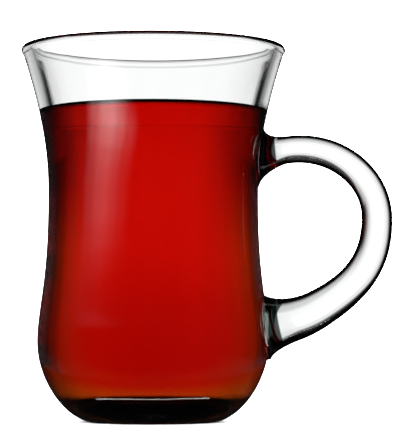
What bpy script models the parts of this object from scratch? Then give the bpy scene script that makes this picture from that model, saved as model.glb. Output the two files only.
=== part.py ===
"""Turkish tea glass: a waisted cup of thick clear glass, its round handle fused on, filled with tea.

The cup's axis is Z, it stands on Z = 0, and the handle lies in the XZ plane, towards +X. Metres.
"""

import math

import bmesh
import bpy
from mathutils import Vector
from mathutils.geometry import interpolate_bezier

# Cup, all radii measured to the outside of the glass
HEIGHT = 0.0998
RIM_RADIUS = 0.03513
RIM_Z = 0.0983
NECK_RADIUS = 0.0345
NECK_Z = 0.0970
WAIST_RADIUS = 0.02788
WAIST_Z = 0.0585
BULB_RADIUS = 0.03072
BULB_Z = 0.0210
FOOT_RADIUS = 0.0170

# Thickness of the glass
WALL = 0.0029
BASE = 0.0065
LIP_CREST = 0.0017
FLOOR_RADIUS = 0.0090

# How far each curve runs on along its end's direction before it turns
FLARE_SLOPE = 0.32
FLARE_PULL = 0.0220
WAIST_PULL_UP = 0.0080
WAIST_PULL_DOWN = 0.0225
BULB_PULL_UP = 0.0095
BULB_PULL_DOWN = 0.0090
FOOT_SLOPE = 0.20
FOOT_PULL = 0.0075
FLOOR_PULL = 0.0120
LIP_PULL = 0.0009
NECK_PULL = 0.00045
NECK_PULL_INSIDE = 0.0018

# Tea, which keeps a thin gap to the glass round it
TEA_LEVEL = 0.0828
GAP = 0.0003

# Handle: the rod thickens towards its lower root, and both ends spread where they were pressed on
HANDLE_TOP = (0.0390, 0.07225)
HANDLE_REACH = (0.0594, 0.0539)
HANDLE_LOWER = (0.0429, 0.0293)
ROUND_SHARE = 0.55
UPPER_ROOT_Z = 0.0710
LOWER_ROOT_Z = 0.0255
ROOT_DEPTH = 0.0021
ROD_RADIUS = 0.00355
ROD_GROWTH = 0.0011
ROD_SWELL = 0.0024
ROD_SWELL_POWER = 6
UPPER_SPREAD = (0.0050, 0.0022)
LOWER_SPREAD = (0.0023, 0.0018)
LEAN_UPPER = math.radians(-6.0)
LEAN_LOWER = math.radians(6.3)
LOWER_HEADING = math.radians(209.0)
UPPER_ROOT_PULL = 0.0040
TOP_PULL = 0.0055
REACH_PULL = 0.0110
LOWER_PULL_UP = 0.0135
LOWER_PULL_DOWN = 0.0050
LOWER_ROOT_PULL = 0.0050

SIDES = 64
ROD_STATIONS = 12
ROD_BEVEL = 6
MERGE = 0.00001


def clear_scene():
    for obj in list(bpy.data.objects):
        bpy.data.objects.remove(obj, do_unlink=True)


def make_collection(name):
    collection = bpy.data.collections.new(name)
    bpy.context.scene.collection.children.link(collection)
    return collection


def make_material(name, colour, roughness, ior):
    material = bpy.data.materials.new(name)
    material.use_nodes = True
    shader = material.node_tree.nodes["Principled BSDF"]
    shader.inputs["Base Color"].default_value = (*colour, 1.0)
    shader.inputs["Roughness"].default_value = roughness
    shader.inputs["Metallic"].default_value = 0.0
    shader.inputs["Transmission Weight"].default_value = 1.0
    shader.inputs["IOR"].default_value = ior
    return material


def curve(start, start_pull, end_pull, end, count):
    """Points along a cubic curve, without its first; a pull is the step from an end to its control point."""
    start, end = Vector((*start, 0.0)), Vector((*end, 0.0))
    leave = start + Vector((*start_pull, 0.0))
    arrive = end + Vector((*end_pull, 0.0))
    points = interpolate_bezier(start, leave, arrive, end, count + 1)
    return [(point.x, point.y) for point in points[1:]]


def heading(angle, length):
    return (math.cos(angle) * length, math.sin(angle) * length)


def sloped(slope, length):
    """A step of this length up a side that leans out by slope."""
    return heading(math.atan2(1.0, slope), length)


def outer_side():
    """The outside of the cup, as (radius, height), from the lip's widest point down to the foot's edge."""
    rim = (RIM_RADIUS, RIM_Z)
    neck = (NECK_RADIUS, NECK_Z)
    waist = (WAIST_RADIUS, WAIST_Z)
    bulb = (BULB_RADIUS, BULB_Z)
    up = sloped(FLARE_SLOPE, 1.0)
    down_flare = (-up[0] * FLARE_PULL, -up[1] * FLARE_PULL)
    up_lip = (up[0] * NECK_PULL, up[1] * NECK_PULL)
    foot_pull = heading(math.atan(FOOT_SLOPE), FOOT_PULL)
    points = [rim]
    points += curve(rim, (0.0, -NECK_PULL), up_lip, neck, 2)
    points += curve(neck, down_flare, (0.0, WAIST_PULL_UP), waist, 8)
    points += curve(waist, (0.0, -WAIST_PULL_DOWN), (0.0, BULB_PULL_UP), bulb, 6)
    points += curve(bulb, (0.0, -BULB_PULL_DOWN), foot_pull, (FOOT_RADIUS, 0.0), 8)
    return points


def inner_side():
    """The inside of the cup from the edge of its flat floor up to the lip's crest, as (radius, height)."""
    floor = (FLOOR_RADIUS, BASE)
    bulb = (BULB_RADIUS - WALL, BULB_Z)
    waist = (WAIST_RADIUS - WALL, WAIST_Z)
    neck = (NECK_RADIUS - WALL, NECK_Z)
    crest = (RIM_RADIUS - LIP_CREST, HEIGHT)
    up = sloped(FLARE_SLOPE, 1.0)
    down_flare = (-up[0] * FLARE_PULL, -up[1] * FLARE_PULL)
    up_lip = (up[0] * NECK_PULL_INSIDE, up[1] * NECK_PULL_INSIDE)
    points = [floor]
    points += curve(floor, (FLOOR_PULL, 0.0), (0.0, -BULB_PULL_DOWN), bulb, 8)
    points += curve(bulb, (0.0, BULB_PULL_UP), (0.0, -WAIST_PULL_DOWN), waist, 5)
    points += curve(waist, (0.0, WAIST_PULL_UP), down_flare, neck, 7)
    points += curve(neck, up_lip, (-LIP_PULL, 0.0), crest, 4)
    return points


def lip_outside():
    """From the lip's crest over to its widest point, both left out."""
    crest = (RIM_RADIUS - LIP_CREST, HEIGHT)
    return curve(crest, (LIP_PULL, 0.0), (0.0, LIP_PULL), (RIM_RADIUS, RIM_Z), 4)[:-1]


def radius_at(side, height):
    """The radius of a side, a list of (radius, height), where it reaches this height."""
    for low, high in zip(side, side[1:]):
        if min(low[1], high[1]) <= height <= max(low[1], high[1]):
            share = (height - low[1]) / (high[1] - low[1])
            return low[0] + share * (high[0] - low[0])
    raise ValueError(f"no wall at height {height}")


def shrunk(side, gap):
    """The side moved in from the glass by gap, square to itself."""
    moved = []
    for index, (radius, height) in enumerate(side):
        before = side[max(index - 1, 0)]
        after = side[min(index + 1, len(side) - 1)]
        along = Vector((after[0] - before[0], after[1] - before[1])).normalized()
        moved.append((radius - along.y * gap, height + along.x * gap))
    return moved


def turned(name, outline, material, collection):
    """A solid turned about Z from an outline of (radius, height), which runs down its outer side."""
    mesh = bpy.data.meshes.new(name)
    mesh.from_pydata(
        [(radius, 0.0, height) for radius, height in outline],
        [(index, index + 1) for index in range(len(outline) - 1)],
        [],
    )
    mesh.materials.append(material)
    obj = bpy.data.objects.new(name, mesh)
    collection.objects.link(obj)
    screw = obj.modifiers.new("Turn", "SCREW")
    screw.axis = "Z"
    screw.angle = math.tau
    screw.steps = SIDES
    screw.render_steps = SIDES
    screw.use_merge_vertices = True
    screw.merge_threshold = MERGE
    screw.use_smooth_shade = True
    return obj


def handle_line():
    """Points along the middle of the handle's rod, from its upper root to its lower one, as (x, z)."""
    side = outer_side()
    upper = (radius_at(side, UPPER_ROOT_Z) - ROOT_DEPTH, UPPER_ROOT_Z)
    lower = (radius_at(side, LOWER_ROOT_Z) - ROOT_DEPTH, LOWER_ROOT_Z)
    across = HANDLE_REACH[0] - HANDLE_TOP[0]
    fall = HANDLE_TOP[1] - HANDLE_REACH[1]
    out_of_root = heading(LEAN_UPPER, UPPER_ROOT_PULL)
    into_root = heading(LEAN_LOWER, LOWER_ROOT_PULL)
    from_reach = heading(LOWER_HEADING, -LOWER_PULL_UP)
    to_root = heading(LOWER_HEADING, LOWER_PULL_DOWN)
    points = [upper]
    points += curve(upper, out_of_root, (-TOP_PULL, 0.0), HANDLE_TOP, ROD_STATIONS)
    points += curve(
        HANDLE_TOP, (across * ROUND_SHARE, 0.0), (0.0, fall * ROUND_SHARE), HANDLE_REACH, ROD_STATIONS
    )
    points += curve(HANDLE_REACH, (0.0, -REACH_PULL), from_reach, HANDLE_LOWER, ROD_STATIONS)
    points += curve(HANDLE_LOWER, to_root, into_root, lower, ROD_STATIONS)
    return points


def rod_radius(from_upper, from_lower):
    """Half the rod's thickness at these lengths along it from its two ends."""
    share = from_upper / (from_upper + from_lower)
    radius = ROD_RADIUS + ROD_GROWTH * share + ROD_SWELL * share**ROD_SWELL_POWER
    for length, (spread, fade) in ((from_upper, UPPER_SPREAD), (from_lower, LOWER_SPREAD)):
        radius += spread * math.exp(-max(length - ROOT_DEPTH, 0.0) / fade)
    return radius


def make_handle(material, collection):
    """The handle's rod as a closed mesh; it is joined to the cup, and so it isn't a piece of its own."""
    line = [Vector((x, 0.0, z)) for x, z in handle_line()]
    run = [0.0]
    for start, end in zip(line, line[1:]):
        run.append(run[-1] + (end - start).length)
    data = bpy.data.curves.new("handle_rod", "CURVE")
    data.dimensions = "3D"
    data.twist_mode = "MINIMUM"
    data.bevel_depth = 1.0
    data.bevel_resolution = ROD_BEVEL
    data.use_fill_caps = True
    spline = data.splines.new("POLY")
    spline.points.add(len(line) - 1)
    for point, place, length in zip(spline.points, line, run):
        point.co = (*place, 1.0)
        point.radius = rod_radius(length, run[-1] - length)
    guide = bpy.data.objects.new("handle_line", data)
    collection.objects.link(guide)
    bpy.context.view_layer.update()
    mesh = bpy.data.meshes.new_from_object(guide.evaluated_get(bpy.context.evaluated_depsgraph_get()))
    form = bmesh.new()
    form.from_mesh(mesh)
    bmesh.ops.remove_doubles(form, verts=form.verts, dist=MERGE)
    bmesh.ops.recalc_face_normals(form, faces=form.faces)
    form.to_mesh(mesh)
    form.free()
    mesh.materials.clear()
    mesh.materials.append(material)
    mesh.shade_smooth()
    handle = bpy.data.objects.new("handle_rod", mesh)
    handle.matrix_world = guide.matrix_world
    collection.objects.link(handle)
    bpy.data.objects.remove(guide, do_unlink=True)
    handle.hide_render = True
    handle.display_type = "WIRE"
    return handle


def make_glass(collection, joined):
    """The cup, turned in one piece with its lip and its thick base, with the handle fused to it."""
    material = make_material("clear_glass", (0.97, 0.99, 0.98), 0.0, 1.5)
    outline = [(0.0, BASE), *inner_side(), *lip_outside(), *outer_side(), (0.0, 0.0)]
    glass = turned("glass", outline, material, collection)
    fuse = glass.modifiers.new("Fuse handle", "BOOLEAN")
    fuse.operation = "UNION"
    fuse.solver = "EXACT"
    fuse.object = make_handle(material, joined)
    return glass


def make_tea(collection):
    """The drink, up to its level."""
    material = make_material("tea", (0.52, 0.01, 0.0), 0.0, 1.33)
    side = shrunk(inner_side(), GAP)
    below = [point for point in side if point[1] < TEA_LEVEL]
    top = (radius_at(side, TEA_LEVEL), TEA_LEVEL)
    outline = [(0.0, TEA_LEVEL), top, *reversed(below), (0.0, BASE + GAP)]
    return turned("tea", outline, material, collection)


def main():
    clear_scene()
    parts = make_collection("turkish_tea_glass")
    joined = make_collection("fused_pieces")
    make_glass(parts, joined)
    make_tea(parts)


main()
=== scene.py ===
"""Looks of a waisted tea glass with a fused side handle, filled with red tea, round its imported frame."""

import math

import bmesh
import bpy
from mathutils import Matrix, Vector
from mathutils.geometry import interpolate_bezier


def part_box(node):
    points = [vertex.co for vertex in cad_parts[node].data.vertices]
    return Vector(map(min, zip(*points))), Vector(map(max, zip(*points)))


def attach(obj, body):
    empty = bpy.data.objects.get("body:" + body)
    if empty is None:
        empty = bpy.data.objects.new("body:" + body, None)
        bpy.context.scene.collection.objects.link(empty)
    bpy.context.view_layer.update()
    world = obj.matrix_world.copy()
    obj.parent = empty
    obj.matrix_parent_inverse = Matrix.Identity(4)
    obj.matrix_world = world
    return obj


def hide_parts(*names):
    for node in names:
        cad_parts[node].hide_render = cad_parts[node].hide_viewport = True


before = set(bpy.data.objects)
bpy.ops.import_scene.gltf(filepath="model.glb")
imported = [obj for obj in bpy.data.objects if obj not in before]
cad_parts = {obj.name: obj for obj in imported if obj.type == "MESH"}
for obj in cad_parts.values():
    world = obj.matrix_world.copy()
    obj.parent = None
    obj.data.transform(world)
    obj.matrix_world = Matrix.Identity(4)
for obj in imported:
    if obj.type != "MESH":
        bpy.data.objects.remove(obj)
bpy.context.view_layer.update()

bl_info = {
    "name": "Tea Glass",
    "version": (1, 0, 0),
    "blender": (4, 5, 0),
    "location": "3D View > Sidebar > Tea Glass",
    "description": "Makes a waisted glass with a fused side handle and the red tea in it",
    "category": "Add Mesh",
}

GLASS_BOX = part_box("glass")
TEA_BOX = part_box("tea")

# Cup, all radii measured to the outside of the glass
RIM_DROP = 0.0015
NECK_INSET = 0.00063
NECK_DROP = 0.0028
WAIST_RADIUS = 0.02788
WAIST_Z = 0.0585
BULB_RADIUS = 0.03072
BULB_Z = 0.0210
FOOT_RADIUS = 0.0170
LIP_INSET = 0.0017
FLOOR_RADIUS = 0.0090

# How far each curve of the cup runs on along its end's direction before it turns
FLARE_SLOPE = 0.32
FLARE_PULL = 0.0220
WAIST_PULL_UP = 0.0080
WAIST_PULL_DOWN = 0.0225
BULB_PULL_UP = 0.0095
BULB_PULL_DOWN = 0.0090
FOOT_SLOPE = 0.20
FOOT_PULL = 0.0075
FLOOR_PULL = 0.0120
LIP_PULL = 0.0009
NECK_PULL = 0.00045
NECK_PULL_INSIDE = 0.0018

# Hollow under the foot
HOLLOW_RADIUS = 0.0139
HOLLOW_STEP = 0.0016
HOLLOW_DEPTH = 0.0008

# Handle
HANDLE_TOP = (0.0390, 0.07225)
HANDLE_REACH = (0.0594, 0.0539)
HANDLE_LOWER = (0.0429, 0.0293)
ROUND_SHARE = 0.55
UPPER_ROOT_Z = 0.0710
LOWER_ROOT_Z = 0.0255
ROOT_DEPTH = 0.0021
LEAN_UPPER = math.radians(-6.0)
LEAN_LOWER = math.radians(6.3)
LOWER_HEADING = math.radians(209.0)
UPPER_ROOT_PULL = 0.0040
TOP_PULL = 0.0055
REACH_PULL = 0.0110
LOWER_PULL_UP = 0.0135
LOWER_PULL_DOWN = 0.0050
LOWER_ROOT_PULL = 0.0050
ROD_RADIUS = 0.00355
ROD_GROWTH = 0.0011
ROD_SWELL = 0.0024
ROD_SWELL_POWER = 6.0
UPPER_SPREAD = 0.0052
UPPER_RUN = 0.0080
LOWER_SPREAD = 0.0026
LOWER_RUN = 0.0070
ROOT_DIP = 0.0001
WRAP_RUN = 0.0080

# Where the painted shade on the glass that joins the handle to the cup starts and ends along X. Up and down
# from a root it is clear beyond the first height and dark inside the second, and it ends in a curve.
UPPER_JOINT = (0.0284, 0.0316)
LOWER_JOINT = (0.0304, 0.0322)
JOINT_HEIGHTS = (0.0132, 0.0110)
JOINT_SOFTNESS = 0.0005
JOINT_BEND = 70.0
JOINT_SHADE_COLOUR = (0.006, 0.010, 0.010)

# Tea
TEA_REACH = 0.00015
TEA_DROP = 0.0011
MENISCUS_RISE = 0.0014
MENISCUS_FADE = 0.0010
MENISCUS_RUN = 0.0080

# How strongly two clear things that touch mirror, where 1 is glass or tea against air
WET_MIRROR = 0.03

# The thick base is painted near black from FOOT_DARK_Z down, a painted shade. Its underside is what lies
# lower than UNDERSIDE_TOP and has a normal with a Z under UNDERSIDE_TILT.
FOOT_CLEAR_Z = 0.0082
FOOT_DARK_Z = 0.0062
FOOT_SHADE_COLOUR = (0.004, 0.005, 0.007)
UNDERSIDE_TOP = 1.1 * HOLLOW_DEPTH
UNDERSIDE_TILT = -0.1
# The underside's two near black colours are painted shade, mixed by soft waves.
UNDERSIDE_SHADE_DARK = (0.004, 0.005, 0.007)
UNDERSIDE_SHADE_PALE = (0.012, 0.014, 0.018)
UNDERSIDE_ROUGHNESS = 0.6
UNDERSIDE_WAVES = {"scale": 300.0, "stretch": 1.0, "strength": 0.2, "distance": 0.0003}

# Clear glass has soft waves, and painted shade darkens it where it is seen edge on. Each pair is how edge on,
# from 0 to 1, and how much light is left. The handle's edge sets in over HANDLE_FROM_X and the cup's over
# CUP_FROM_Z, and the cup's ends over CUP_TO_Z.
GLASS_WAVES = {"scale": 90.0, "stretch": 0.3, "strength": 0.12, "distance": 0.0004}
HANDLE_FROM_X = (0.0315, 0.0330)
HANDLE_EDGE_SHADE = ((0.0, 1.0), (0.24, 1.0), (0.3, 0.6), (0.36, 0.12), (0.42, 0.0), (1.0, 0.0))
CUP_FROM_Z = (0.0815, 0.0830)
CUP_TO_Z = (0.0965, 0.0955)
OUTSIDE_EDGE_SHADE = ((0.0, 1.0), (0.78, 1.0), (0.86, 0.2), (0.93, 0.0), (1.0, 0.0))
INSIDE_EDGE_SHADE = ((0.0, 1.0), (0.64, 1.0), (0.7, 0.3), (0.745, 0.02), (0.78, 0.0), (1.0, 0.0))

# Painted shade darkens the tea low down and, from EDGE_FADE_Z up, where it is seen edge on. It is red in the
# middle, and a painted amber glow lights it low down where it is seen edge on.
TEA_CLEAR_Z = 0.0480
TEA_DARK_Z = 0.0080
TEA_LOW_SHADE_COLOUR = (0.72, 0.72, 0.72)
TEA_EDGE_SHADE = ((0.0, 1.0), (0.05, 0.93), (0.12, 0.54), (0.2, 0.32), (0.28, 0.2), (0.4, 0.05), (0.6, 0.02))
EDGE_FADE_Z = 0.0330
EDGE_FULL_Z = 0.0740
TEA_RED = (1.0, 0.12, 0.3)
AMBER_GLOW_FACING = (0.1, 0.19)
AMBER_GLOW_Z = (0.0640, 0.0440)

WHITE = (1.0, 1.0, 1.0)

# Fineness. The rod's end rings, where share times 1 - share is under ROD_CLOSE, close to a point.
CURVE_STEPS = 20
TURN_SIDES = 180
ROD_RINGS = 220
ROD_SIDES = 56
ROD_BUNCHING = 0.9
ROD_CLOSE = 0.000001
WELD = 0.000002
SHARP_ANGLE = math.radians(40.0)

# Camera, as the photograph has it
CAMERA_PLACE = (0.0124, -0.6078, 0.0269)
CAMERA_TILT = math.radians(92.47)
CAMERA_LENS = 186.6
CAMERA_SENSOR = 36.0
CAMERA_CLIP = (0.01, 20.0)

# Table
TABLE_SIZE = 8.0
TABLE_COLOUR = (0.9, 0.9, 0.9)
TABLE_ROUGHNESS = 0.9

# How often light may pass into clear things or mirror on them
THROUGH_BOUNCES = 32
MIRROR_BOUNCES = 16

# Studio light, as (angle in degrees, brightness). A bearing is turned from the handle's side (+X) round to
# the back (+Y), and a height is the angle above the table. The plain light is the bare background, and what
# falls on the table.
PLAIN_LIGHT = 6.0

# Light seen through the glass: the back, a wider part of it low down and high up, and the table and ceiling
BACK_LIGHT = 1.13
BACK_BEARINGS = (
    (0.0, 0.1), (8.0, 0.01), (44.0, 0.01), (50.0, 0.04), (57.0, 0.22), (64.0, 0.58), (71.0, 0.85),
    (79.0, 1.0), (100.0, 1.0), (108.0, 0.88), (115.0, 0.72), (124.0, 0.5), (132.0, 0.18), (139.0, 0.02),
    (154.0, 0.03), (164.0, 0.4), (174.0, 0.8), (187.0, 0.9), (198.0, 0.8), (211.0, 0.3), (226.0, 0.9),
    (248.0, 0.35), (270.0, 1.0), (292.0, 0.35), (314.0, 0.95), (334.0, 0.4), (345.0, 0.8), (353.0, 0.5),
    (360.0, 0.1),
)
BACK_HEIGHTS = (
    (-90.0, 0.12), (-60.0, 0.16), (-48.0, 0.25), (-36.0, 0.42), (-25.0, 0.62), (-13.0, 0.92), (0.0, 1.0),
    (12.0, 1.0), (17.0, 0.52), (22.0, 0.18), (28.0, 0.02), (40.0, 0.0), (90.0, 0.0),
)
WIDE_BEARINGS = (
    (34.0, 0.0), (46.0, 0.2), (58.0, 0.55), (75.0, 1.0), (105.0, 1.0), (122.0, 0.85), (138.0, 0.42),
    (150.0, 0.1), (160.0, 0.0),
)
WIDE_HEIGHTS = (
    (-30.0, 0.0), (-22.0, 0.6), (-16.0, 0.9), (-12.0, 0.7), (-8.0, 0.15), (-6.0, 0.0),
    (8.0, 0.0), (11.0, 0.8), (18.0, 0.8), (25.0, 0.0),
)
ROOM_HEIGHTS = (
    (-90.0, 0.5), (-50.0, 0.55), (-34.0, 0.6), (-27.0, 0.6), (-20.0, 0.3), (-14.0, 0.0),
    (42.0, 0.0), (60.0, 0.5), (90.0, 0.6),
)

# Light that the glass mirrors: a leaning patch at the front left
FRONT_LIGHT = 5.6
FRONT_FILL = 0.01
FRONT_LEAN = 0.1
FRONT_BEARINGS = (
    (188.0, 0.0), (200.0, 0.4), (210.0, 0.85), (219.0, 1.0), (228.0, 0.6), (237.0, 0.22), (250.0, 0.0),
)
FRONT_HEIGHTS = (
    (-36.0, 0.0), (-28.0, 0.4), (-22.0, 1.0), (-15.0, 0.95), (-10.0, 0.6), (-5.0, 0.34), (0.0, 0.25),
    (4.0, 0.19), (7.0, 0.11), (10.0, 0.045), (14.0, 0.01), (19.0, 0.0),
)

# And a thin strip from below, where a direction's Z less GLINT_LEAN times its Y is GLINT_PLACE. It fades out
# towards the back over GLINT_END.
GLINT_LIGHT = 9.0
GLINT_LEAN = 0.4045
GLINT_PLACE = -0.826
GLINT_HALF_WIDTH = 0.013
GLINT_END = (0.13, 0.10)

# A dark card that keeps the front light off the lower bulb
CARD_BEARING = math.radians(222.0)
CARD_DISTANCE = 0.130
CARD_WIDTH = 0.400
CARD_TOP = 0.050
CARD_BOTTOM = -0.095
CARD_SOFTNESS = 0.014


def curve(start, start_pull, end_pull, end, count=CURVE_STEPS):
    """Points along a cubic curve, without its first; a pull is the step from an end to its control point."""
    start, end = Vector((*start, 0.0)), Vector((*end, 0.0))
    leave = start + Vector((*start_pull, 0.0))
    arrive = end + Vector((*end_pull, 0.0))
    points = interpolate_bezier(start, leave, arrive, end, count + 1)
    return [(point.x, point.y) for point in points[1:]]


def heading(angle, length):
    """A step of this length at this angle."""
    return (math.cos(angle) * length, math.sin(angle) * length)


def flare(length):
    """A step of this length up the side where the cup flares."""
    return heading(math.atan2(1.0, FLARE_SLOPE), length)


def knots(sizes, wall=0.0):
    """The turning points of the cup's side as (radius, height), moved in from the outside by wall."""
    return {
        "bulb": (BULB_RADIUS - wall, BULB_Z),
        "waist": (WAIST_RADIUS - wall, WAIST_Z),
        "neck": (sizes.rim_radius - NECK_INSET - wall, sizes.height - NECK_DROP),
        "rim": (sizes.rim_radius, sizes.height - RIM_DROP),
        "crest": (sizes.rim_radius - LIP_INSET, sizes.height),
    }


def outer_side(sizes):
    """The outside of the cup from the foot's edge up to the lip's widest point."""
    knot = knots(sizes)
    foot = (FOOT_RADIUS, 0.0)
    points = [foot]
    points += curve(foot, heading(math.atan(FOOT_SLOPE), FOOT_PULL), (0.0, -BULB_PULL_DOWN), knot["bulb"])
    points += curve(knot["bulb"], (0.0, BULB_PULL_UP), (0.0, -WAIST_PULL_DOWN), knot["waist"])
    points += curve(knot["waist"], (0.0, WAIST_PULL_UP), flare(-FLARE_PULL), knot["neck"])
    points += curve(knot["neck"], flare(NECK_PULL), (0.0, -NECK_PULL), knot["rim"])
    return points


def lip(sizes):
    """From the lip's widest point over to its crest, the first left out."""
    knot = knots(sizes)
    return curve(knot["rim"], (0.0, LIP_PULL), (LIP_PULL, 0.0), knot["crest"])


def inner_side(sizes, wall):
    """The inside of the cup from the edge of its flat floor up to the neck."""
    knot = knots(sizes, wall)
    floor = (FLOOR_RADIUS, sizes.base)
    points = [floor]
    points += curve(floor, (FLOOR_PULL, 0.0), (0.0, -BULB_PULL_DOWN), knot["bulb"])
    points += curve(knot["bulb"], (0.0, BULB_PULL_UP), (0.0, -WAIST_PULL_DOWN), knot["waist"])
    points += curve(knot["waist"], (0.0, WAIST_PULL_UP), flare(-FLARE_PULL), knot["neck"])
    return points


def underside():
    """From the axis out to the foot's edge, over the shallow hollow under the foot, the last left out."""
    brow = (HOLLOW_RADIUS - HOLLOW_STEP, HOLLOW_DEPTH)
    edge = (HOLLOW_RADIUS, 0.0)
    half = HOLLOW_STEP / 2.0
    return [(0.0, HOLLOW_DEPTH), brow, *curve(brow, (half, 0.0), (-half, 0.0), edge)]


def radius_at(side, height):
    """The radius of a side, a list of (radius, height), where it reaches this height."""
    for low, high in zip(side, side[1:]):
        if min(low[1], high[1]) <= height <= max(low[1], high[1]):
            share = (height - low[1]) / (high[1] - low[1])
            return low[0] + share * (high[0] - low[0])
    raise ValueError(f"no wall at height {height}")


def cup_outline(sizes):
    """The whole outline of the glass, from the middle of its underside round to the middle of its floor."""
    inside = inner_side(sizes, sizes.wall)
    crest_to_neck = curve(
        knots(sizes)["crest"], (-LIP_PULL, 0.0), flare(NECK_PULL_INSIDE), inside[-1]
    )
    return [
        *underside(),
        *outer_side(sizes),
        *lip(sizes),
        *crest_to_neck,
        *reversed(inside[:-1]),
        (0.0, sizes.base),
    ]


def tea_outline(sizes):
    """The drink, from the middle of its bottom up inside the wall and in along its curved-up edge."""
    side = inner_side(sizes, sizes.wall - TEA_REACH)
    brim = sizes.tea_level + MENISCUS_RISE
    wet = [point for point in side if point[1] < brim]
    edge = (radius_at(side, brim), brim)
    top = []
    for index in range(1, CURVE_STEPS + 1):
        inward = MENISCUS_RUN * (index / CURVE_STEPS) ** 2
        rise = MENISCUS_RISE * math.exp(-inward / MENISCUS_FADE)
        top.append((edge[0] - inward, sizes.tea_level + rise))
    bottom = sizes.base - TEA_REACH
    lowered = [(wet[0][0], bottom), *wet[1:]]
    return [(0.0, bottom), *lowered, edge, *top, (0.0, sizes.tea_level)]


def add_node(tree, kind, **settings):
    made = tree.nodes.new(kind)
    for name, value in settings.items():
        setattr(made, name, value)
    return made


def feed(tree, socket, value):
    """Sets a socket to a plain value, or links another socket to it."""
    if isinstance(value, bpy.types.NodeSocket):
        tree.links.new(value, socket)
    else:
        socket.default_value = value


def calc(tree, operation, first, second=0.0):
    """A math node's output."""
    made = add_node(tree, "ShaderNodeMath", operation=operation)
    feed(tree, made.inputs[0], first)
    feed(tree, made.inputs[1], second)
    return made.outputs[0]


def eased(tree, value, start, end):
    """0 where value is at start, 1 at end, and a soft step between."""
    made = add_node(tree, "ShaderNodeMapRange", interpolation_type="SMOOTHSTEP")
    feed(tree, made.inputs["Value"], value)
    made.inputs["From Min"].default_value = start
    made.inputs["From Max"].default_value = end
    return made.outputs["Result"]


def graded(tree, place, stops):
    """A grey that changes softly with place; stops are (place from 0 to 1, brightness)."""
    ramp = add_node(tree, "ShaderNodeValToRGB")
    ramp.color_ramp.interpolation = "EASE"
    elements = ramp.color_ramp.elements
    while len(elements) < len(stops):
        elements.new(0.5)
    for element, (spot, value) in zip(elements, stops):
        element.position = spot
        element.color = (value, value, value, 1.0)
    tree.links.new(place, ramp.inputs["Fac"])
    return ramp.outputs["Color"]


def object_place(tree):
    """The X, Y and Z outputs of the Object coordinates."""
    spot = add_node(tree, "ShaderNodeTexCoord")
    split = add_node(tree, "ShaderNodeSeparateXYZ")
    tree.links.new(spot.outputs["Object"], split.inputs[0])
    return split.outputs


def edge_on(tree):
    """0 where a surface faces the ray of light, 1 where the ray grazes it."""
    return add_node(tree, "ShaderNodeLayerWeight").outputs["Facing"]


def mixed(tree, share, first, second, way="MIX"):
    """A mix of two colours by share, each a socket or (red, green, blue)."""
    made = add_node(tree, "ShaderNodeMix", data_type="RGBA", blend_type=way)
    feed(tree, made.inputs[0], share)
    for socket, colour in ((made.inputs[6], first), (made.inputs[7], second)):
        feed(tree, socket, (*colour, 1.0) if isinstance(colour, tuple) else colour)
    return made.outputs[2]


def new_tree(name, inputs):
    """A Geometry Nodes tree with a geometry input and output and these inputs of (name, kind, value)."""
    tree = bpy.data.node_groups.new(name, "GeometryNodeTree")
    tree.is_modifier = True
    tree.interface.new_socket("Geometry", in_out="INPUT", socket_type="NodeSocketGeometry")
    for label, kind, value in inputs:
        socket = tree.interface.new_socket(label, in_out="INPUT", socket_type=kind)
        if value is not None:
            socket.default_value = value
    tree.interface.new_socket("Geometry", in_out="OUTPUT", socket_type="NodeSocketGeometry")
    return tree


def end_tree(tree, geometry, source):
    """Welds, smooths, realizes and paints the geometry, and hands it out."""
    weld = add_node(tree, "GeometryNodeMergeByDistance")
    smooth = add_node(tree, "GeometryNodeSetShadeSmooth")
    real = add_node(tree, "GeometryNodeRealizeInstances")
    paint = add_node(tree, "GeometryNodeSetMaterial")
    out = add_node(tree, "NodeGroupOutput")
    tree.links.new(geometry, weld.inputs["Geometry"])
    tree.links.new(source.outputs["Weld Distance"], weld.inputs["Distance"])
    tree.links.new(weld.outputs["Geometry"], smooth.inputs["Geometry"])
    tree.links.new(smooth.outputs["Geometry"], real.inputs["Geometry"])
    tree.links.new(real.outputs["Geometry"], paint.inputs["Geometry"])
    tree.links.new(source.outputs["Material"], paint.inputs["Material"])
    tree.links.new(paint.outputs["Geometry"], out.inputs["Geometry"])


def unit_grid(tree, columns, rows):
    """A flat grid to be bent into shape, and each point's place on it along X and Y, from 0 to 1."""
    grid = add_node(tree, "GeometryNodeMeshGrid")
    feed(tree, grid.inputs["Size X"], 1.0)
    feed(tree, grid.inputs["Size Y"], 1.0)
    feed(tree, grid.inputs["Vertices X"], columns)
    feed(tree, grid.inputs["Vertices Y"], rows)
    place = add_node(tree, "GeometryNodeInputPosition")
    split = add_node(tree, "ShaderNodeSeparateXYZ")
    tree.links.new(place.outputs[0], split.inputs[0])
    shares = [calc(tree, "ADD", split.outputs[axis], 0.5) for axis in "XY"]
    return grid.outputs["Mesh"], *shares


def placed(tree, mesh, position):
    """The mesh with each of its points set at this position."""
    move = add_node(tree, "GeometryNodeSetPosition")
    tree.links.new(mesh, move.inputs["Geometry"])
    tree.links.new(position, move.inputs["Position"])
    return move.outputs["Geometry"]


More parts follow.
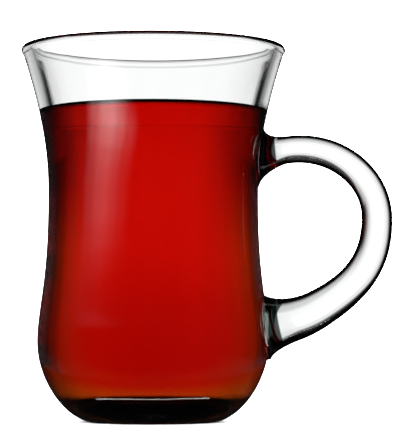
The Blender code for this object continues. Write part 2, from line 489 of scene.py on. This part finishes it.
def turning_tree():
    """Turns an outline in the XZ plane, a row of points, about Z."""
    tree = new_tree(
        "Turn An Outline",
        [
            ("Sides", "NodeSocketInt", TURN_SIDES),
            ("Weld Distance", "NodeSocketFloat", WELD),
            ("Material", "NodeSocketMaterial", None),
        ],
    )
    source = add_node(tree, "NodeGroupInput")
    outline = source.outputs["Geometry"]
    size = add_node(tree, "GeometryNodeAttributeDomainSize", component="MESH")
    tree.links.new(outline, size.inputs["Geometry"])
    count = size.outputs["Point Count"]
    mesh, round_share, share = unit_grid(tree, calc(tree, "ADD", source.outputs["Sides"], 1.0), count)
    turn = calc(tree, "MULTIPLY", round_share, math.tau)
    row = calc(tree, "ROUND", calc(tree, "MULTIPLY", share, calc(tree, "SUBTRACT", count, 1.0)))
    place = add_node(tree, "GeometryNodeInputPosition")
    sample = add_node(tree, "GeometryNodeSampleIndex", data_type="FLOAT_VECTOR", domain="POINT")
    tree.links.new(outline, sample.inputs["Geometry"])
    tree.links.new(place.outputs[0], sample.inputs["Value"])
    feed(tree, sample.inputs["Index"], row)
    point = add_node(tree, "ShaderNodeSeparateXYZ")
    tree.links.new(sample.outputs[0], point.inputs[0])
    turned = add_node(tree, "ShaderNodeCombineXYZ")
    radius = point.outputs["X"]
    feed(tree, turned.inputs["X"], calc(tree, "MULTIPLY", radius, calc(tree, "COSINE", turn)))
    feed(tree, turned.inputs["Y"], calc(tree, "MULTIPLY", radius, calc(tree, "SINE", turn)))
    feed(tree, turned.inputs["Z"], point.outputs["Z"])
    end_tree(tree, placed(tree, mesh, turned.outputs[0]), source)
    return tree


def drawing_tree():
    """Draws a rod along a curve in the XZ plane, thicker towards its end and spread at both roots."""
    tree = new_tree(
        "Draw A Rod",
        [
            ("Rings", "NodeSocketInt", ROD_RINGS),
            ("Sides", "NodeSocketInt", ROD_SIDES),
            ("Bunching", "NodeSocketFloat", ROD_BUNCHING),
            ("Rod Radius", "NodeSocketFloat", ROD_RADIUS),
            ("Growth", "NodeSocketFloat", ROD_GROWTH),
            ("Swell", "NodeSocketFloat", ROD_SWELL),
            ("Swell Power", "NodeSocketFloat", ROD_SWELL_POWER),
            ("Root Depth", "NodeSocketFloat", ROOT_DEPTH - ROOT_DIP),
            ("Upper Spread", "NodeSocketFloat", UPPER_SPREAD),
            ("Upper Run", "NodeSocketFloat", UPPER_RUN),
            ("Lower Spread", "NodeSocketFloat", LOWER_SPREAD),
            ("Lower Run", "NodeSocketFloat", LOWER_RUN),
            ("Weld Distance", "NodeSocketFloat", WELD),
            ("Material", "NodeSocketMaterial", None),
        ],
    )
    source = add_node(tree, "NodeGroupInput")
    line = source.outputs["Geometry"]
    given = source.outputs
    mesh, share, round_share = unit_grid(tree, given["Rings"], calc(tree, "ADD", given["Sides"], 1.0))
    turn = calc(tree, "MULTIPLY", round_share, math.tau)
    wave = calc(tree, "SINE", calc(tree, "MULTIPLY", share, math.tau))
    pull = calc(tree, "DIVIDE", calc(tree, "MULTIPLY", wave, given["Bunching"]), math.tau)
    along = calc(tree, "SUBTRACT", share, pull)
    whole = add_node(tree, "GeometryNodeCurveLength")
    tree.links.new(line, whole.inputs[0])
    run = calc(tree, "MULTIPLY", along, whole.outputs[0])
    left = calc(tree, "SUBTRACT", whole.outputs[0], run)
    sample = add_node(tree, "GeometryNodeSampleCurve", mode="LENGTH")
    tree.links.new(line, sample.inputs["Curves"])
    feed(tree, sample.inputs["Length"], run)
    growth = calc(tree, "MULTIPLY", given["Growth"], along)
    swell = calc(tree, "MULTIPLY", given["Swell"], calc(tree, "POWER", along, given["Swell Power"]))
    radius = calc(tree, "ADD", given["Rod Radius"], calc(tree, "ADD", growth, swell))
    for length, spread, reach in (
        (run, given["Upper Spread"], given["Upper Run"]),
        (left, given["Lower Spread"], given["Lower Run"]),
    ):
        out = calc(tree, "DIVIDE", calc(tree, "SUBTRACT", length, given["Root Depth"]), reach)
        bounded = calc(tree, "MINIMUM", calc(tree, "MAXIMUM", out, 0.0), 1.0)
        rest = calc(tree, "SUBTRACT", 1.0, bounded)
        arc = calc(tree, "SQRT", calc(tree, "SUBTRACT", 1.0, calc(tree, "MULTIPLY", rest, rest)))
        fillet = calc(tree, "MULTIPLY", spread, calc(tree, "SUBTRACT", 1.0, arc))
        radius = calc(tree, "ADD", radius, fillet)
    from_ends = calc(tree, "MULTIPLY", share, calc(tree, "SUBTRACT", 1.0, share))
    radius = calc(tree, "MULTIPLY", radius, calc(tree, "GREATER_THAN", from_ends, ROD_CLOSE))
    across = add_node(tree, "FunctionNodeInputVector", vector=(0.0, 1.0, 0.0))
    up = add_node(tree, "ShaderNodeVectorMath", operation="CROSS_PRODUCT")
    tree.links.new(across.outputs[0], up.inputs[0])
    tree.links.new(sample.outputs["Tangent"], up.inputs[1])
    in_plane = add_node(tree, "ShaderNodeVectorMath", operation="SCALE")
    tree.links.new(up.outputs[0], in_plane.inputs[0])
    feed(tree, in_plane.inputs["Scale"], calc(tree, "MULTIPLY", radius, calc(tree, "COSINE", turn)))
    sideways = add_node(tree, "ShaderNodeVectorMath", operation="SCALE")
    tree.links.new(across.outputs[0], sideways.inputs[0])
    feed(tree, sideways.inputs["Scale"], calc(tree, "MULTIPLY", radius, calc(tree, "SINE", turn)))
    offset = add_node(tree, "ShaderNodeVectorMath", operation="ADD")
    tree.links.new(in_plane.outputs[0], offset.inputs[0])
    tree.links.new(sideways.outputs[0], offset.inputs[1])
    moved = add_node(tree, "ShaderNodeVectorMath", operation="ADD")
    tree.links.new(sample.outputs["Position"], moved.inputs[0])
    tree.links.new(offset.outputs[0], moved.inputs[1])
    end_tree(tree, placed(tree, mesh, moved.outputs[0]), source)
    return tree


def grown(name, data, tree, values):
    """A plain mesh object made by a Geometry Nodes tree from this object data."""
    guide = bpy.data.objects.new(name + "_guide", data)
    bpy.context.scene.collection.objects.link(guide)
    modifier = guide.modifiers.new("Make", "NODES")
    modifier.node_group = tree
    for item in tree.interface.items_tree:
        if item.in_out == "INPUT" and item.name in values:
            modifier[item.identifier] = values[item.name]
    return flattened(name, guide)


def flattened(name, guide):
    """The object with its modifiers made real, under this name; the guide is removed."""
    bpy.context.view_layer.update()
    graph = bpy.context.evaluated_depsgraph_get()
    mesh = bpy.data.meshes.new_from_object(guide.evaluated_get(graph))
    mesh.name = name
    bpy.data.objects.remove(guide, do_unlink=True)
    made = bpy.data.objects.new(name, mesh)
    bpy.context.scene.collection.objects.link(made)
    return made


def facing_out(piece):
    """Turns the faces of a closed piece outwards and welds what lies on one spot."""
    form = bmesh.new()
    form.from_mesh(piece.data)
    bmesh.ops.remove_doubles(form, verts=form.verts, dist=WELD)
    if form.calc_volume(signed=True) < 0.0:
        bmesh.ops.reverse_faces(form, faces=form.faces)
    form.to_mesh(piece.data)
    form.free()
    return piece


def outline_mesh(name, outline):
    mesh = bpy.data.meshes.new(name)
    mesh.from_pydata(
        [(radius, 0.0, height) for radius, height in outline],
        [(index, index + 1) for index in range(len(outline) - 1)],
        [],
    )
    return mesh


def handle_curve(sizes):
    """The middle line of the handle's rod, from its upper root to its lower one."""
    side = outer_side(sizes)
    upper = (radius_at(side, UPPER_ROOT_Z) - ROOT_DEPTH, UPPER_ROOT_Z)
    lower = (radius_at(side, LOWER_ROOT_Z) - ROOT_DEPTH, LOWER_ROOT_Z)
    across = (HANDLE_REACH[0] - HANDLE_TOP[0]) * ROUND_SHARE
    fall = (HANDLE_TOP[1] - HANDLE_REACH[1]) * ROUND_SHARE
    stops = [
        (upper, (0.0, 0.0), heading(LEAN_UPPER, UPPER_ROOT_PULL)),
        (HANDLE_TOP, (-TOP_PULL, 0.0), (across, 0.0)),
        (HANDLE_REACH, (0.0, fall), (0.0, -REACH_PULL)),
        (HANDLE_LOWER, heading(LOWER_HEADING, -LOWER_PULL_UP), heading(LOWER_HEADING, LOWER_PULL_DOWN)),
        (lower, heading(LEAN_LOWER, LOWER_ROOT_PULL), (0.0, 0.0)),
    ]
    data = bpy.data.curves.new("handle_line", "CURVE")
    data.dimensions = "3D"
    data.resolution_u = 2 * CURVE_STEPS
    spline = data.splines.new("BEZIER")
    spline.bezier_points.add(len(stops) - 1)
    for knot, (place, arrive, leave) in zip(spline.bezier_points, stops):
        knot.handle_left_type = "FREE"
        knot.handle_right_type = "FREE"
        knot.co = (place[0], 0.0, place[1])
        knot.handle_left = (place[0] + arrive[0], 0.0, place[1] + arrive[1])
        knot.handle_right = (place[0] + leave[0], 0.0, place[1] + leave[1])
    return data


def wrap_roots(rod, sizes):
    """Bends the spread roots round the cup, so that each lands along the curved wall."""
    side = outer_side(sizes)
    upper_wall = radius_at(side, UPPER_ROOT_Z)
    lower_wall = radius_at(side, LOWER_ROOT_Z)
    middle = (UPPER_ROOT_Z + LOWER_ROOT_Z) / 2.0
    for vertex in rod.data.vertices:
        x, y, z = vertex.co
        wall_here = upper_wall if z > middle else lower_wall
        out = x - wall_here
        far = min(max(out / WRAP_RUN, 0.0), 1.0)
        near = 1.0 - far * far * (3.0 - 2.0 * far)
        if near <= 0.0:
            continue
        reach = radius_at(side, z) + out
        turn = y / wall_here
        wrapped = Vector((reach * math.cos(turn), reach * math.sin(turn), z))
        vertex.co = vertex.co.lerp(wrapped, near)


def wave_group():
    """Soft waves over a surface: a height for bumps and a grey for colour, both between 0 and 1."""
    group = bpy.data.node_groups.get("Soft Waves")
    if group:
        return group
    group = bpy.data.node_groups.new("Soft Waves", "ShaderNodeTree")
    for label, value in (("Scale", 60.0), ("Stretch", 0.35), ("Detail", 1.0)):
        socket = group.interface.new_socket(label, in_out="INPUT", socket_type="NodeSocketFloat")
        socket.default_value = value
    group.interface.new_socket("Height", in_out="OUTPUT", socket_type="NodeSocketFloat")
    source = add_node(group, "NodeGroupInput")
    spot = add_node(group, "ShaderNodeTexCoord")
    stretch = add_node(group, "ShaderNodeCombineXYZ")
    feed(group, stretch.inputs["X"], 1.0)
    feed(group, stretch.inputs["Y"], 1.0)
    feed(group, stretch.inputs["Z"], source.outputs["Stretch"])
    scaled = add_node(group, "ShaderNodeVectorMath", operation="MULTIPLY")
    group.links.new(spot.outputs["Object"], scaled.inputs[0])
    group.links.new(stretch.outputs[0], scaled.inputs[1])
    noise = add_node(group, "ShaderNodeTexNoise")
    group.links.new(scaled.outputs[0], noise.inputs["Vector"])
    group.links.new(source.outputs["Scale"], noise.inputs["Scale"])
    group.links.new(source.outputs["Detail"], noise.inputs["Detail"])
    out = add_node(group, "NodeGroupOutput")
    group.links.new(noise.outputs[0], out.inputs["Height"])
    return group


def wavy(tree, shader, scale, stretch, strength, distance):
    """Gives a shader the shared soft waves as a bump, and hands out their node."""
    waves = add_node(tree, "ShaderNodeGroup", node_tree=wave_group())
    waves.inputs["Scale"].default_value = scale
    waves.inputs["Stretch"].default_value = stretch
    bump = add_node(tree, "ShaderNodeBump")
    bump.inputs["Strength"].default_value = strength
    bump.inputs["Distance"].default_value = distance
    tree.links.new(waves.outputs["Height"], bump.inputs["Height"])
    tree.links.new(bump.outputs["Normal"], shader.inputs["Normal"])
    return waves


def new_material(name):
    """A material, its tree and its shader."""
    material = bpy.data.materials.new(name)
    material.use_nodes = True
    return material, material.node_tree, material.node_tree.nodes["Principled BSDF"]


def clear_shader(name, ior):
    """A clear material, its tree and its shader."""
    material, tree, shader = new_material(name)
    shader.inputs["Base Color"].default_value = (*WHITE, 1.0)
    shader.inputs["Metallic"].default_value = 0.0
    shader.inputs["Roughness"].default_value = 0.0
    shader.inputs["Transmission Weight"].default_value = 1.0
    shader.inputs["IOR"].default_value = ior
    return material, tree, shader


def absorb(tree, colour, density):
    """Lets light be taken up on its way through."""
    volume = add_node(tree, "ShaderNodeVolumeAbsorption")
    volume.inputs["Color"].default_value = (*colour, 1.0)
    volume.inputs["Density"].default_value = density
    tree.links.new(volume.outputs["Volume"], tree.nodes["Material Output"].inputs["Volume"])


def joint_shade_mask(tree, place):
    """1 where painted shade darkens the glass that joins the handle to the cup, 0 elsewhere."""
    masks = []
    for centre, (inner, outer) in ((UPPER_ROOT_Z, UPPER_JOINT), (LOWER_ROOT_Z, LOWER_JOINT)):
        far = calc(tree, "ABSOLUTE", calc(tree, "SUBTRACT", place["Z"], centre))
        level = eased(tree, far, *JOINT_HEIGHTS)
        start = eased(tree, place["X"], inner - JOINT_SOFTNESS, inner)
        bend = calc(tree, "MULTIPLY", calc(tree, "MULTIPLY", far, far), JOINT_BEND)
        end = eased(tree, calc(tree, "SUBTRACT", place["X"], bend), outer, outer - JOINT_SOFTNESS)
        masks.append(calc(tree, "MULTIPLY", level, calc(tree, "MULTIPLY", start, end)))
    return calc(tree, "MAXIMUM", *masks)


def inside_mask(tree, place, sizes):
    """1 on the inside of the flared wall above the tea, 0 on its outside."""
    side = outer_side(sizes)
    middle = add_node(tree, "ShaderNodeMapRange")
    feed(tree, middle.inputs["Value"], place["Z"])
    for label, height in (("Min", CUP_FROM_Z[0]), ("Max", CUP_TO_Z[0])):
        middle.inputs["From " + label].default_value = height
        middle.inputs["To " + label].default_value = radius_at(side, height) - sizes.wall / 2.0
    squares = [calc(tree, "MULTIPLY", place[axis], place[axis]) for axis in "XY"]
    radius = calc(tree, "SQRT", calc(tree, "ADD", *squares))
    return calc(tree, "LESS_THAN", radius, middle.outputs["Result"])


def glass_material(looks, sizes):
    """Clear glass with painted shade: near black foot, dark handle joints, dark where seen edge on."""
    material, tree, shader = clear_shader("clear_glass", looks.glass_ior)
    wavy(tree, shader, **GLASS_WAVES)
    place = object_place(tree)
    facing = edge_on(tree)
    # Painted shade: the foot is tinted near black.
    colour = mixed(tree, eased(tree, place["Z"], FOOT_CLEAR_Z, FOOT_DARK_Z), WHITE, FOOT_SHADE_COLOUR)
    # Painted shade darkens the glass at the handle's joints.
    colour = mixed(tree, joint_shade_mask(tree, place), colour, JOINT_SHADE_COLOUR, "MULTIPLY")
    below = eased(tree, place["Z"], *reversed(CUP_FROM_Z))
    handle = calc(tree, "MULTIPLY", eased(tree, place["X"], *HANDLE_FROM_X), below)
    above = eased(tree, place["Z"], *CUP_FROM_Z)
    cup = calc(tree, "MULTIPLY", above, eased(tree, place["Z"], *CUP_TO_Z))
    inside = inside_mask(tree, place, sizes)
    outside = calc(tree, "SUBTRACT", 1.0, inside)
    # Painted shade: the handle and the flared wall darken where they are seen edge on.
    for share, stops in (
        (handle, HANDLE_EDGE_SHADE),
        (calc(tree, "MULTIPLY", cup, outside), OUTSIDE_EDGE_SHADE),
        (calc(tree, "MULTIPLY", cup, inside), INSIDE_EDGE_SHADE),
    ):
        colour = mixed(tree, share, colour, graded(tree, facing, stops), "MULTIPLY")
    tree.links.new(colour, shader.inputs["Base Color"])
    absorb(tree, looks.glass_tint, looks.glass_density)
    return material


def hardly_mirrors(shader):
    """Takes away nearly all mirroring, for clear things that touch."""
    shader.inputs["Specular Tint"].default_value = (WET_MIRROR, WET_MIRROR, WET_MIRROR, 1.0)


def wet_glass_material(looks):
    """Glass with tea against it, which mirrors next to nothing."""
    material, tree, shader = clear_shader("wet_glass", looks.glass_ior)
    hardly_mirrors(shader)
    absorb(tree, looks.glass_tint, looks.glass_density)
    return material


def wet_faces(glass, sizes, slot):
    """Gives the inside of the glass, up to the tea's edge, its own material."""
    side = inner_side(sizes, sizes.wall / 2.0)
    brim = sizes.tea_level + MENISCUS_RISE
    for face in glass.data.polygons:
        x, y, z = face.center
        if sizes.base / 2.0 < z < brim and math.hypot(x, y) < radius_at(side, max(z, sizes.base)):
            face.material_index = slot


def underside_shade_material():
    """Painted shade on the underside: near black, it takes up the light that comes through the base."""
    material, tree, shader = new_material("painted_shade_underside")
    shader.inputs["Roughness"].default_value = UNDERSIDE_ROUGHNESS
    shader.inputs["Specular IOR Level"].default_value = 0.0
    waves = wavy(tree, shader, **UNDERSIDE_WAVES)
    shade = mixed(tree, waves.outputs["Height"], UNDERSIDE_SHADE_DARK, UNDERSIDE_SHADE_PALE)
    tree.links.new(shade, shader.inputs["Base Color"])
    return material


def under_faces(glass, slot):
    """Gives the underside of the foot its own material."""
    for face in glass.data.polygons:
        x, y, z = face.center
        faces_down = z < UNDERSIDE_TOP and face.normal.z < UNDERSIDE_TILT
        if faces_down and math.hypot(x, y) < FOOT_RADIUS:
            face.material_index = slot


def tea_material(looks):
    """Red tea, with painted shade low down and edge on, and a painted amber glow low at its sides."""
    material, tree, shader = clear_shader("red_tea", looks.tea_ior)
    place = object_place(tree)
    facing = edge_on(tree)
    # Painted shade: the tea darkens low down.
    colour = mixed(tree, eased(tree, place["Z"], TEA_CLEAR_Z, TEA_DARK_Z), WHITE, TEA_LOW_SHADE_COLOUR)
    # Painted shade: from EDGE_FADE_Z up the tea darkens where it is seen edge on.
    high = eased(tree, place["Z"], EDGE_FADE_Z, EDGE_FULL_Z)
    colour = mixed(tree, high, colour, graded(tree, facing, TEA_EDGE_SHADE), "MULTIPLY")
    # Painted glow: low down at its sides the tea is left amber, and red elsewhere.
    side = eased(tree, facing, *AMBER_GLOW_FACING)
    amber = calc(tree, "MULTIPLY", side, eased(tree, place["Z"], *AMBER_GLOW_Z))
    colour = mixed(tree, 1.0, colour, mixed(tree, amber, TEA_RED, WHITE), "MULTIPLY")
    tree.links.new(colour, shader.inputs["Base Color"])
    hardly_mirrors(shader)
    absorb(tree, looks.tea_tint, looks.tea_density)
    return material


def stage_material():
    material, tree, shader = new_material("pale_floor")
    shader.inputs["Roughness"].default_value = TABLE_ROUGHNESS
    shader.inputs["Base Color"].default_value = (*TABLE_COLOUR, 1.0)
    return material


class TeaGlassSizes(bpy.types.PropertyGroup):
    """Sizes of the glass and its tea."""

    height: bpy.props.FloatProperty(
        name="Height",
        description="Height of the glass to the crest of its lip",
        default=GLASS_BOX[1][2],
        unit="LENGTH",
        subtype="DISTANCE",
    )
    rim_radius: bpy.props.FloatProperty(
        name="Rim Radius",
        description="Radius of the lip where it is widest",
        default=GLASS_BOX[1][1],
        unit="LENGTH",
        subtype="DISTANCE",
    )
    wall: bpy.props.FloatProperty(
        name="Wall",
        description="Thickness of the side wall",
        default=0.0029,
        unit="LENGTH",
        subtype="DISTANCE",
    )
    base: bpy.props.FloatProperty(
        name="Base",
        description="Thickness of the base",
        default=0.0065,
        unit="LENGTH",
        subtype="DISTANCE",
    )
    rod_radius: bpy.props.FloatProperty(
        name="Rod Radius",
        description="Half the thickness of the handle at its upper end",
        default=ROD_RADIUS,
        unit="LENGTH",
        subtype="DISTANCE",
    )
    tea_level: bpy.props.FloatProperty(
        name="Tea Level",
        description="Height of the flat middle of the tea",
        default=TEA_BOX[1][2] - TEA_DROP,
        unit="LENGTH",
        subtype="DISTANCE",
    )


class TeaGlassLooks(bpy.types.PropertyGroup):
    """Colours and clearness of the glass and its tea."""

    glass_tint: bpy.props.FloatVectorProperty(
        name="Glass Tint",
        description="Colour that light keeps in thick glass",
        default=(0.5, 0.8, 0.7),
        size=3,
        min=0.0,
        max=1.0,
        subtype="COLOR",
    )
    glass_density: bpy.props.FloatProperty(
        name="Glass Density",
        description="How fast the glass takes up light, for each metre",
        default=5.0,
        min=0.0,
    )
    glass_ior: bpy.props.FloatProperty(
        name="Glass Refraction",
        description="Index of refraction of the glass",
        default=1.5,
        min=1.0,
    )
    tea_tint: bpy.props.FloatVectorProperty(
        name="Tea Tint",
        description="Colour that light keeps in the tea",
        default=(0.968, 0.72, 0.14),
        size=3,
        min=0.0,
        max=1.0,
        subtype="COLOR",
    )
    tea_density: bpy.props.FloatProperty(
        name="Tea Density",
        description="How fast the tea takes up light, for each metre",
        default=290.0,
        min=0.0,
    )
    tea_ior: bpy.props.FloatProperty(
        name="Tea Refraction",
        description="Index of refraction of the tea",
        default=1.33,
        min=1.0,
    )


class TEAGLASS_OT_blow_cup(bpy.types.Operator):
    """Make the glass: the turned cup with its drawn handle fused on"""

    bl_idname = "teaglass.blow_cup"
    bl_label = "Blow Cup"

    def execute(self, context):
        sizes = context.scene.tea_glass_sizes
        material = glass_material(context.scene.tea_glass_looks, sizes)
        cup = grown(
            "waisted_cup",
            outline_mesh("cup_outline", cup_outline(sizes)),
            turning_tree(),
            {"Sides": TURN_SIDES, "Weld Distance": WELD, "Material": material},
        )
        rod = grown(
            "handle_rod",
            handle_curve(sizes),
            drawing_tree(),
            {"Rod Radius": sizes.rod_radius, "Material": material},
        )
        facing_out(cup)
        facing_out(rod)
        wrap_roots(rod, sizes)
        fuse = cup.modifiers.new("Fuse", "BOOLEAN")
        fuse.operation = "UNION"
        fuse.solver = "EXACT"
        fuse.object = rod
        glass = flattened("glass_cup", cup)
        bpy.data.objects.remove(rod, do_unlink=True)
        facing_out(glass)
        glass.data.materials.clear()
        glass.data.materials.append(material)
        glass.data.materials.append(wet_glass_material(context.scene.tea_glass_looks))
        wet_faces(glass, sizes, slot=1)
        glass.data.materials.append(underside_shade_material())
        under_faces(glass, slot=2)
        glass.data.shade_smooth()
        glass.data.set_sharp_from_angle(angle=SHARP_ANGLE)
        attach(glass, "root")
        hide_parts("glass")
        return {"FINISHED"}


class TEAGLASS_OT_pour_tea(bpy.types.Operator):
    """Make the tea, up to its level and just into the wall"""

    bl_idname = "teaglass.pour_tea"
    bl_label = "Pour Tea"

    def execute(self, context):
        sizes = context.scene.tea_glass_sizes
        material = tea_material(context.scene.tea_glass_looks)
        tea = grown(
            "tea_drink",
            outline_mesh("tea_outline", tea_outline(sizes)),
            turning_tree(),
            {"Sides": TURN_SIDES, "Weld Distance": WELD, "Material": material},
        )
        facing_out(tea)
        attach(tea, "root")
        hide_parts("tea")
        return {"FINISHED"}


def set_camera():
    data = bpy.data.cameras.new("camera")
    data.lens = CAMERA_LENS
    data.sensor_width = CAMERA_SENSOR
    data.clip_start, data.clip_end = CAMERA_CLIP
    camera = bpy.data.objects.new("camera", data)
    camera.location = CAMERA_PLACE
    camera.rotation_euler = (CAMERA_TILT, 0.0, 0.0)
    bpy.context.scene.collection.objects.link(camera)
    bpy.context.scene.camera = camera


def by_bearing(tree, bearing, stops):
    """Brightness by the bearing, where 1 is a full turn."""
    return graded(tree, bearing, [(degrees / 360.0, value) for degrees, value in stops])


def by_height(tree, rise, stops):
    """Brightness by the angle above the table, where rise is its sine."""
    place = calc(tree, "ADD", calc(tree, "MULTIPLY", rise, 0.5), 0.5)
    places = [(0.5 + 0.5 * math.sin(math.radians(angle)), value) for angle, value in stops]
    return graded(tree, place, places)


def panel(tree, bearing, rise, bearings, heights):
    """Brightness of one part of the studio, from its stops along the bearing and up."""
    return calc(tree, "MULTIPLY", by_bearing(tree, bearing, bearings), by_height(tree, rise, heights))


def light_through(tree, bearing, rise):
    """The light that is seen through the glass and the tea."""
    back = panel(tree, bearing, rise, BACK_BEARINGS, BACK_HEIGHTS)
    wide = panel(tree, bearing, rise, WIDE_BEARINGS, WIDE_HEIGHTS)
    panels = calc(tree, "MAXIMUM", back, wide)
    whole = calc(tree, "MAXIMUM", panels, by_height(tree, rise, ROOM_HEIGHTS))
    return calc(tree, "MULTIPLY", whole, BACK_LIGHT)


def light_mirrored(tree, bearing, rise, depth):
    """The light that the glass mirrors: the leaning patch, the strip and a little all round."""
    leaned = calc(tree, "ADD", bearing, calc(tree, "MULTIPLY", rise, FRONT_LEAN))
    patch = panel(tree, leaned, rise, FRONT_BEARINGS, FRONT_HEIGHTS)
    tilted = calc(tree, "SUBTRACT", rise, calc(tree, "MULTIPLY", depth, GLINT_LEAN))
    off = calc(tree, "ABSOLUTE", calc(tree, "SUBTRACT", tilted, GLINT_PLACE))
    line = eased(tree, off, GLINT_HALF_WIDTH, 0.0)
    strip = calc(tree, "MULTIPLY", line, eased(tree, depth, *GLINT_END))
    glints = calc(tree, "ADD", calc(tree, "MULTIPLY", strip, GLINT_LIGHT), FRONT_FILL)
    return calc(tree, "ADD", calc(tree, "MULTIPLY", patch, FRONT_LIGHT), glints)


def either(tree, share, first, second):
    """The first number where share is 0, the second where it is 1."""
    made = add_node(tree, "ShaderNodeMix", data_type="FLOAT")
    feed(tree, made.inputs[0], share)
    feed(tree, made.inputs[2], first)
    feed(tree, made.inputs[3], second)
    return made.outputs[0]


def set_world():
    world = bpy.data.worlds.new("studio")
    bpy.context.scene.world = world
    world.use_nodes = True
    tree = world.node_tree
    shader = tree.nodes["Background"]
    spot = add_node(tree, "ShaderNodeTexCoord")
    split = add_node(tree, "ShaderNodeSeparateXYZ")
    tree.links.new(spot.outputs["Generated"], split.inputs[0])
    depth, rise = split.outputs["Y"], split.outputs["Z"]
    angle = calc(tree, "ARCTAN2", depth, split.outputs["X"])
    bearing = calc(tree, "FRACT", calc(tree, "ADD", calc(tree, "DIVIDE", angle, math.tau), 1.0))
    path = add_node(tree, "ShaderNodeLightPath").outputs
    through = path["Is Transmission Ray"]
    mirrored = light_mirrored(tree, bearing, rise, depth)
    shown = either(tree, through, mirrored, light_through(tree, bearing, rise))
    in_glass = calc(tree, "MAXIMUM", path["Is Glossy Ray"], through)
    tree.links.new(either(tree, in_glass, PLAIN_LIGHT, shown), shader.inputs["Strength"])
    shader.inputs["Color"].default_value = (*WHITE, 1.0)


def set_floor():
    bpy.ops.mesh.primitive_plane_add(size=TABLE_SIZE)
    floor = bpy.context.object
    floor.name = "floor"
    floor.data.materials.append(stage_material())
    floor.visible_glossy = False
    floor.visible_transmission = False


def card_material():
    """Black with a soft upper edge, and only for light that the glass mirrors."""
    material, tree, shader = new_material("dark_card")
    tree.nodes.remove(shader)
    solid = eased(tree, object_place(tree)["Z"], CARD_TOP, CARD_TOP - CARD_SOFTNESS)
    path = add_node(tree, "ShaderNodeLightPath")
    mirrored = calc(tree, "SUBTRACT", 1.0, path.outputs["Is Transmission Ray"])
    clear = add_node(tree, "ShaderNodeBsdfTransparent")
    black = add_node(tree, "ShaderNodeEmission")
    black.inputs["Strength"].default_value = 0.0
    mix = add_node(tree, "ShaderNodeMixShader")
    feed(tree, mix.inputs[0], calc(tree, "MULTIPLY", solid, mirrored))
    tree.links.new(clear.outputs[0], mix.inputs[1])
    tree.links.new(black.outputs[0], mix.inputs[2])
    tree.links.new(mix.outputs[0], tree.nodes["Material Output"].inputs["Surface"])
    return material


def set_card():
    along = Vector((-math.sin(CARD_BEARING), math.cos(CARD_BEARING), 0.0)) * CARD_WIDTH / 2.0
    middle = Vector((math.cos(CARD_BEARING), math.sin(CARD_BEARING), 0.0)) * CARD_DISTANCE
    low, high = Vector((0.0, 0.0, CARD_BOTTOM)), Vector((0.0, 0.0, CARD_TOP))
    mesh = bpy.data.meshes.new("dark_card")
    left, right = middle - along, middle + along
    mesh.from_pydata([left + low, right + low, right + high, left + high], [], [(0, 1, 2, 3)])
    card = bpy.data.objects.new("dark_card", mesh)
    bpy.context.scene.collection.objects.link(card)
    mesh.materials.append(card_material())
    card.visible_camera = False
    card.visible_diffuse = False
    card.visible_shadow = False


class TEAGLASS_OT_set_stage(bpy.types.Operator):
    """Make the floor, the studio light and the camera"""

    bl_idname = "teaglass.set_stage"
    bl_label = "Set Stage"

    def execute(self, context):
        set_floor()
        set_card()
        set_world()
        set_camera()
        scene = context.scene
        scene.view_settings.view_transform = "Standard"
        scene.cycles.max_bounces = THROUGH_BOUNCES
        scene.cycles.transmission_bounces = THROUGH_BOUNCES
        scene.cycles.glossy_bounces = MIRROR_BOUNCES
        scene.cycles.use_denoising = True
        return {"FINISHED"}


class TEAGLASS_PT_panel(bpy.types.Panel):
    """Sizes, colours and steps of the tea glass"""

    bl_idname = "TEAGLASS_PT_panel"
    bl_label = "Tea Glass"
    bl_space_type = "VIEW_3D"
    bl_region_type = "UI"
    bl_category = "Tea Glass"

    def draw(self, context):
        layout = self.layout
        for group in (context.scene.tea_glass_sizes, context.scene.tea_glass_looks):
            box = layout.box()
            for name in group.__annotations__:
                box.prop(group, name)
        for step in STEPS:
            layout.operator(step.bl_idname)


STEPS = (TEAGLASS_OT_blow_cup, TEAGLASS_OT_pour_tea, TEAGLASS_OT_set_stage)
CLASSES = (TeaGlassSizes, TeaGlassLooks, *STEPS, TEAGLASS_PT_panel)


def register():
    for made in CLASSES:
        bpy.utils.register_class(made)
    bpy.types.Scene.tea_glass_sizes = bpy.props.PointerProperty(type=TeaGlassSizes)
    bpy.types.Scene.tea_glass_looks = bpy.props.PointerProperty(type=TeaGlassLooks)


def unregister():
    del bpy.types.Scene.tea_glass_looks
    del bpy.types.Scene.tea_glass_sizes
    for made in reversed(CLASSES):
        bpy.utils.unregister_class(made)


def main():
    register()
    bpy.ops.teaglass.blow_cup()
    bpy.ops.teaglass.pour_tea()
    bpy.ops.teaglass.set_stage()


if __name__ == "__main__":
    main()
